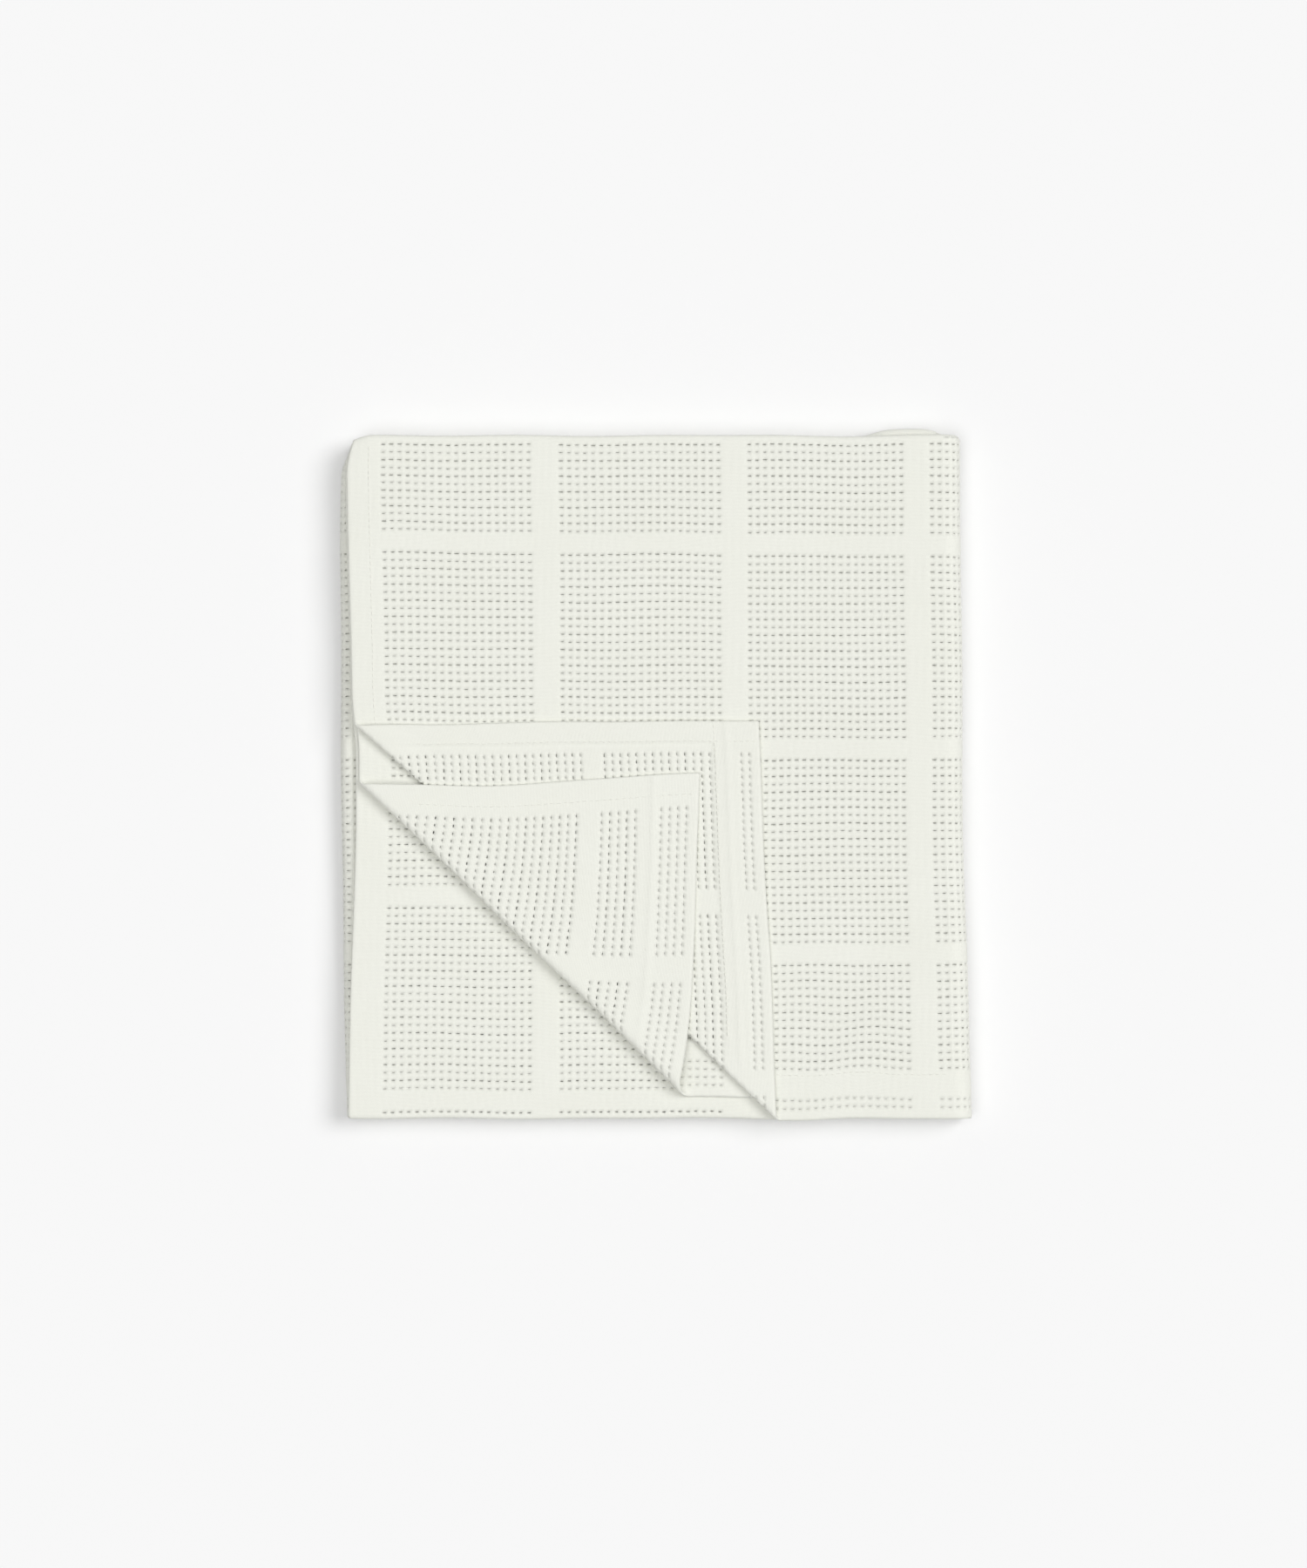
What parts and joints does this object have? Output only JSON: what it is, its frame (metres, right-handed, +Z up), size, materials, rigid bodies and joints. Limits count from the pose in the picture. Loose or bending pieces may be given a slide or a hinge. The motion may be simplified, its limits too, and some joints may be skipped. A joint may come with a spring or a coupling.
{
  "type": "folded throw blanket",
  "caption": "Cellular cotton throw blanket folded into a flat rectangular pile, with a lower corner of its top leaf turned back along the diagonal to show the hems.",
  "frame": {"origin": "centre of the folded pile's footprint, on the floor it lies on", "axes": "+X from the top leaf's free edge to its spine, +Y from the foot edge to the head edge, +Z up"},
  "size_m": [0.346, 0.376, 0.0235],
  "materials": {
    "cotton_cloth": "matte ivory cellular-weave cotton",
    "cotton_thread": "matte ivory cotton sewing thread"
  },
  "bodies": {
    "pile": {"bottom_leaf_ply_1": "cotton_cloth", "bottom_leaf_ply_2": "cotton_cloth", "bottom_leaf_ply_3": "cotton_cloth", "bottom_leaf_ply_4": "cotton_cloth", "bottom_leaf_head_fold_outer": "cotton_cloth", "bottom_leaf_head_fold_inner": "cotton_cloth", "bottom_leaf_foot_fold": "cotton_cloth", "inner_leaf_ply_1": "cotton_cloth", "inner_leaf_ply_2": "cotton_cloth", "inner_leaf_ply_3": "cotton_cloth", "inner_leaf_ply_4": "cotton_cloth", "inner_leaf_head_fold_outer": "cotton_cloth", "inner_leaf_head_fold_inner": "cotton_cloth", "inner_leaf_foot_fold": "cotton_cloth", "left_fold_ply_1": "cotton_cloth", "left_fold_ply_2": "cotton_cloth", "left_fold_ply_3": "cotton_cloth", "left_fold_ply_4": "cotton_cloth", "spine_fold_ply_1": "cotton_cloth", "spine_fold_ply_2": "cotton_cloth", "spine_fold_ply_3": "cotton_cloth", "spine_fold_ply_4": "cotton_cloth"},
    "top_leaf": {"top_leaf_ply_1": "cotton_cloth", "top_leaf_ply_1_side_hem": "cotton_cloth", "top_leaf_ply_1_side_seam": "cotton_thread", "top_leaf_ply_1_end_hem": "cotton_cloth", "top_leaf_ply_1_end_seam": "cotton_thread", "top_leaf_ply_2": "cotton_cloth", "top_leaf_ply_3": "cotton_cloth", "top_leaf_ply_4": "cotton_cloth", "top_leaf_head_fold_outer": "cotton_cloth", "top_leaf_head_fold_inner": "cotton_cloth", "top_leaf_foot_fold": "cotton_cloth"},
    "corner_1": {"corner_1": "cotton_cloth", "corner_1_side_hem": "cotton_cloth", "corner_1_side_seam": "cotton_thread", "corner_1_end_hem": "cotton_cloth", "corner_1_end_seam": "cotton_thread", "corner_1_fold": "cotton_cloth"},
    "corner_2": {"corner_2": "cotton_cloth", "corner_2_side_hem": "cotton_cloth", "corner_2_side_seam": "cotton_thread", "corner_2_end_hem": "cotton_cloth", "corner_2_end_seam": "cotton_thread", "corner_2_fold": "cotton_cloth"}
  },
  "joints": [
    {"name": "top_leaf_opens", "type": "hinge", "parent": "pile", "child": "top_leaf", "pos_m": [0.17363, 0, 0.01175], "axis": [0, 1, 0], "range_deg": [0, 180], "deforming": ["spine_fold_ply_1", "spine_fold_ply_2", "spine_fold_ply_3", "spine_fold_ply_4"]},
    {"name": "corner_1_unfolds", "type": "hinge", "parent": "top_leaf", "child": "corner_1", "pos_m": [-0.04738, -0.077, 0.02025], "axis": [0.7302, -0.6833, 0], "range_deg": [0, 180], "deforming": ["corner_1_fold"]},
    {"name": "corner_2_unfolds", "type": "hinge", "parent": "top_leaf", "child": "corner_2", "pos_m": [-0.06421, -0.09275, 0.02025], "axis": [0.7302, -0.6833, 0], "range_deg": [0, 180], "deforming": ["corner_2_fold"]}
  ],
  "couplings": [
    {"joint": "corner_2_unfolds", "follows": "corner_1_unfolds", "ratio": 1}
  ]
}
